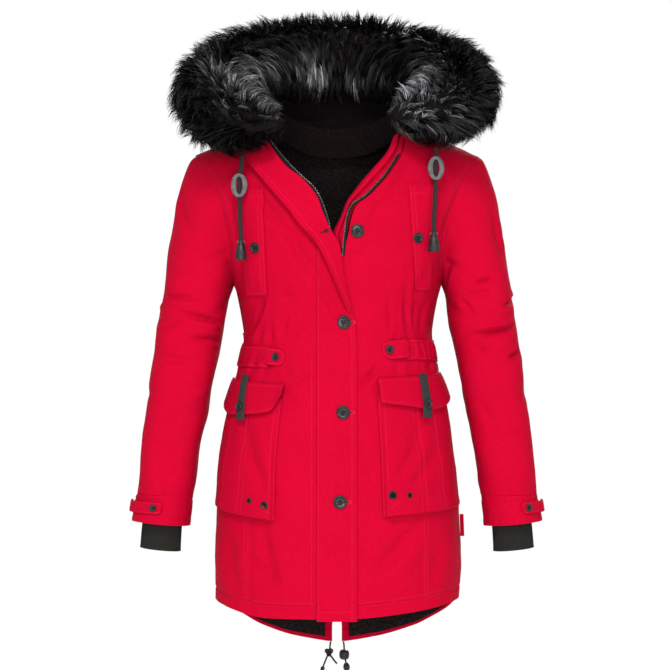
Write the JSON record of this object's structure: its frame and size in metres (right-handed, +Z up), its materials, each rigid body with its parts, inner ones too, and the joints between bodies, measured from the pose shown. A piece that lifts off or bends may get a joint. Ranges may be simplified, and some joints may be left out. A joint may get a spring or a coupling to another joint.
{
  "type": "hooded winter jacket",
  "caption": "Hooded thigh-length winter parka with deep fur trim, buttoned storm flap over a zip, gathered waist, patch and bellows pockets, ribbed cuffs and a split rounded back hem",
  "frame": {"origin": "between the wearer's shoulders, at the level of the collar's base, where the wearer holds the jacket up", "axes": "+Z up along the jacket's length, -Y out of its front, +X towards the wearer's left"},
  "size_m": [0.6169, 0.3548, 1.0263],
  "materials": {
    "red_shell": "matt brushed cotton twill",
    "black_plush": "short plush pile",
    "black_fur": "long glossy imitation fur",
    "rib_knit": "ribbed knit",
    "button_grey": "satin dark grey",
    "cord_dark": "braided cord",
    "zip_tape": "woven tape",
    "webbing": "woven webbing",
    "eyelet_metal": "gunmetal"
  },
  "bodies": {
    "root": {"back_lining": "black_plush", "back_panel": "red_shell", "chest_pocket_left": "red_shell", "chest_pocket_right": "red_shell", "chest_snap_left": "button_grey", "chest_snap_right": "button_grey", "cord_end_left": "button_grey", "cord_end_right": "button_grey", "cord_stop_left": "button_grey", "cord_stop_right": "button_grey", "cuff_left": "red_shell", "cuff_right": "red_shell", "cuff_snap_left": "button_grey", "cuff_snap_right": "button_grey", "cuff_tab_left": "red_shell", "cuff_tab_right": "red_shell", "eyelet_left_large": "eyelet_metal", "eyelet_left_small": "eyelet_metal", "eyelet_right_large": "eyelet_metal", "eyelet_right_small": "eyelet_metal", "front_button_1": "button_grey", "front_button_2": "button_grey", "front_button_3": "button_grey", "front_button_4": "button_grey", "front_facing": "red_shell", "front_left": "red_shell", "front_right": "red_shell", "fur_trim": "black_fur", "hem_cord_left": "cord_dark", "hem_cord_right": "cord_dark", "hem_knot_right": "button_grey", "hem_toggle_left": "button_grey", "hood_cord_left": "cord_dark", "hood_cord_right": "cord_dark", "hood_lining": "black_plush", "hood_shell": "red_shell", "lower_pocket_left": "red_shell", "lower_pocket_right": "red_shell", "pocket_flap_left": "red_shell", "pocket_flap_right": "red_shell", "pocket_strap_left": "webbing", "pocket_strap_right": "webbing", "rib_cuff_left": "rib_knit", "rib_cuff_right": "rib_knit", "side_label": "red_shell", "sleeve_left": "red_shell", "sleeve_right": "red_shell", "storm_flap": "red_shell", "storm_flap_turned": "red_shell", "strap_button_left": "button_grey", "strap_button_right": "button_grey", "waist_button_left": "button_grey", "waist_button_right": "button_grey", "waist_casing_back": "red_shell", "waist_casing_left": "red_shell", "waist_casing_right": "red_shell", "waist_tab_left": "red_shell", "waist_tab_right": "red_shell", "zip_tape_left": "zip_tape", "zip_tape_right": "zip_tape"}
  },
  "joints": []
}
